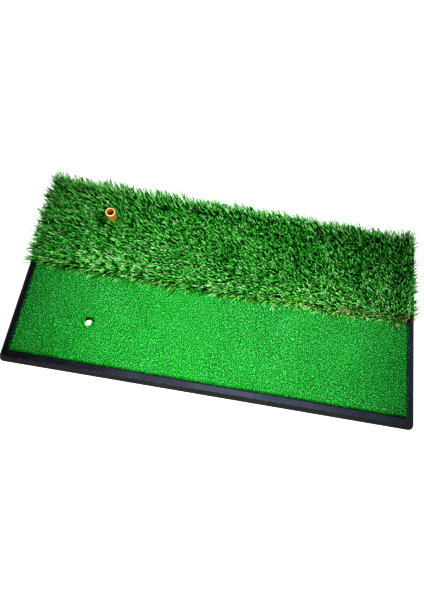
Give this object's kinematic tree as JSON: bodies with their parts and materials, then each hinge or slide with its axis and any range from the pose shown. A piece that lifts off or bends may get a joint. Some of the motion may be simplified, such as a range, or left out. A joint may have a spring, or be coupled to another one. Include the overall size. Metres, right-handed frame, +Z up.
{
  "type": "golf hitting mat",
  "caption": "Golf practice mat: a black rubber tray holding a strip of short fairway turf beside a strip of long rough turf, with a rubber tube tee that fits through from below.",
  "frame": {"origin": "centre of the mat, on the floor it stands on", "axes": "+X along the long side, with the tee holes at the -X end; +Y towards the rough turf and -Y towards the fairway turf; +Z up"},
  "size_m": [0.6, 0.3, 0.052],
  "materials": {
    "black_rubber": "satin",
    "gum_rubber": "satin",
    "hot_melt": "satin",
    "latex": "matte",
    "woven_cloth": "matte",
    "fairway_yarn": "matte",
    "rough_yarn": "satin",
    "thatch_yarn": "matte"
  },
  "bodies": {
    "mat": {"rubber_base": "black_rubber", "fairway_adhesive": "hot_melt", "fairway_backing": "latex", "fairway_primary_cloth": "woven_cloth", "fairway_pile": "fairway_yarn", "rough_adhesive": "hot_melt", "rough_backing": "latex", "rough_primary_cloth": "woven_cloth", "rough_thatch": "thatch_yarn", "rough_pile": "rough_yarn"},
    "tee": {"rubber_tee": "gum_rubber"}
  },
  "joints": [
    {"name": "tee_pull_out", "type": "slide", "parent": "mat", "child": "tee", "axis": [0, 0, 1], "range_m": [-0.06, 0]}
  ]
}
